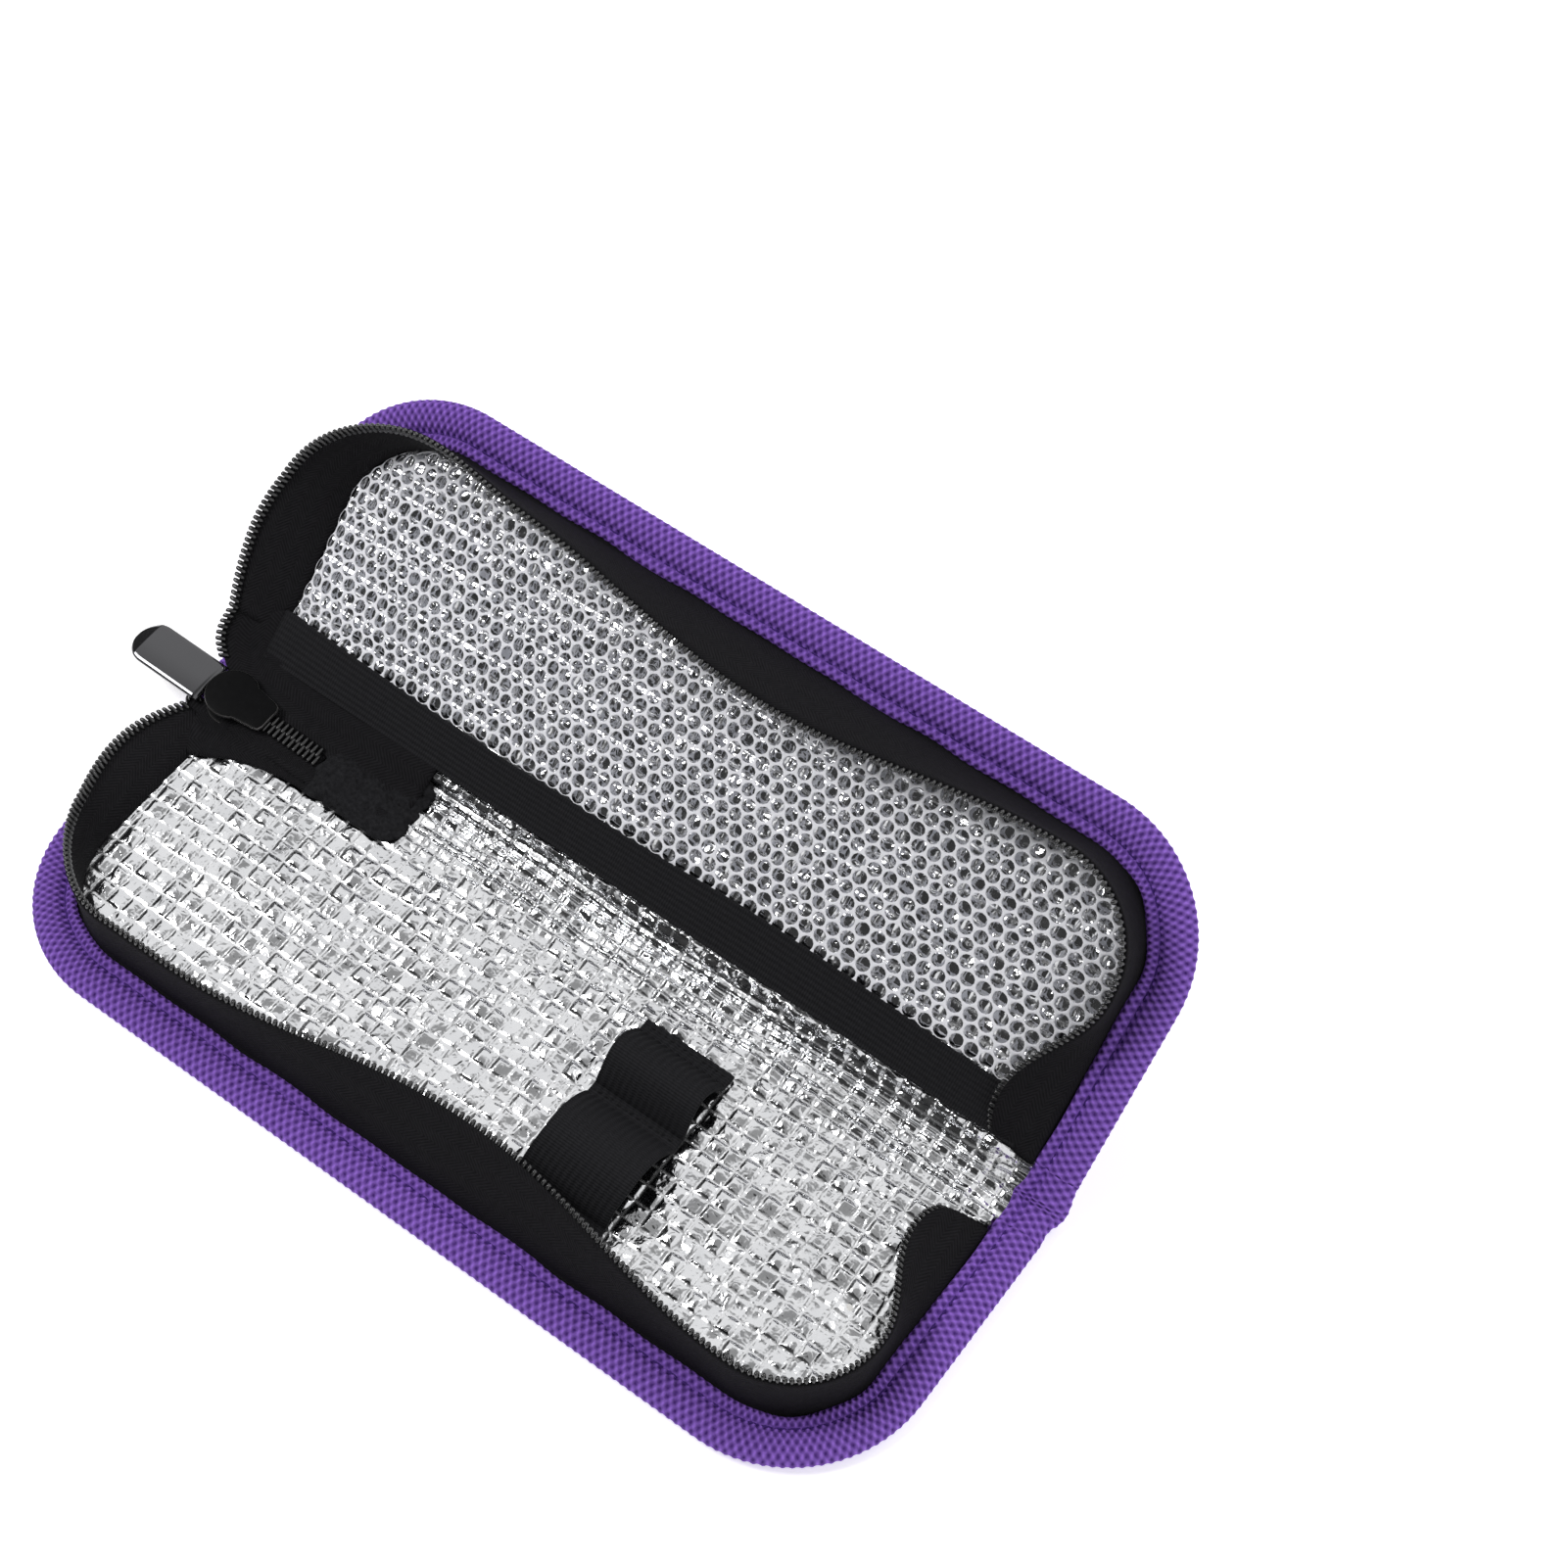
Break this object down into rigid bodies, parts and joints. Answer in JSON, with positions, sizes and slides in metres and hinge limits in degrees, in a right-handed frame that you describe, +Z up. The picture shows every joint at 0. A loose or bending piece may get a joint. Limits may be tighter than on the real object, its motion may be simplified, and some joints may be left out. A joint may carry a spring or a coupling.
{
  "type": "folding insulin cooling case",
  "caption": "Soft zip-round cooling case for insulin pens: two bound panels fold at a spine, foil lined, with an elastic pen loop band and a net pocket.",
  "frame": {"origin": "centre of the base panel's underside, where the open case lies on a table", "axes": "+X along the case's length, away from the zip slider; +Y from the base towards the fold and the lid; +Z up from the table"},
  "size_m": [0.2152, 0.1266, 0.0523],
  "materials": {
    "cover_fabric": "violet woven oxford nylon",
    "foam": "white closed-cell insulation foam",
    "foil_lining": "crinkled aluminised film with a woven scrim",
    "binding_tape": "violet woven binding tape, stitched",
    "zip_tape": "black twill zip tape",
    "zip_coil": "black nylon coil",
    "elastic": "black ribbed knit elastic",
    "patch_felt": "black brushed loop fabric",
    "pocket_net": "white hexagonal net",
    "slider_metal": "gloss black"
  },
  "bodies": {
    "base": {"base_cover": "cover_fabric", "base_foam": "foam", "base_foil_lining": "foil_lining", "base_binding": "binding_tape", "base_zip_tape": "zip_tape", "base_zip_coil": "zip_coil", "pen_loop_band": "elastic", "spine_cover": "cover_fabric", "spine_foam": "foam", "spine_foil_lining": "foil_lining", "spine_binding_left": "binding_tape", "spine_binding_right": "binding_tape", "zip_end_patch": "patch_felt", "zip_tail_tape": "zip_tape", "zip_tail_coil": "zip_coil"},
    "lid": {"lid_cover": "cover_fabric", "lid_foam": "foam", "lid_foil_lining": "foil_lining", "lid_binding": "binding_tape", "lid_zip_tape": "zip_tape", "lid_zip_coil": "zip_coil", "pocket_band": "elastic", "mesh_pocket": "pocket_net"},
    "slider": {"zip_slider": "slider_metal"},
    "pull": {"pull_tab": "slider_metal"}
  },
  "joints": [
    {"name": "lid_fold", "type": "hinge", "parent": "base", "child": "lid", "pos_m": [0, 0.0345, 0.007], "axis": [1, 0, 0], "range_deg": [-38.8, 120.3], "deforming": ["spine_cover", "spine_foam", "spine_foil_lining", "spine_binding_left", "spine_binding_right", "zip_end_patch"]},
    {"name": "zip_slide", "type": "slide", "parent": "base", "child": "slider", "axis": [0.9986, 0, -0.0523], "range_m": [0, 0.004]},
    {"name": "tab_swing", "type": "hinge", "parent": "slider", "child": "pull", "pos_m": [-0.09769, 0.0295, 0.00811], "axis": [0, 1, 0], "range_deg": [-15, 20]}
  ]
}
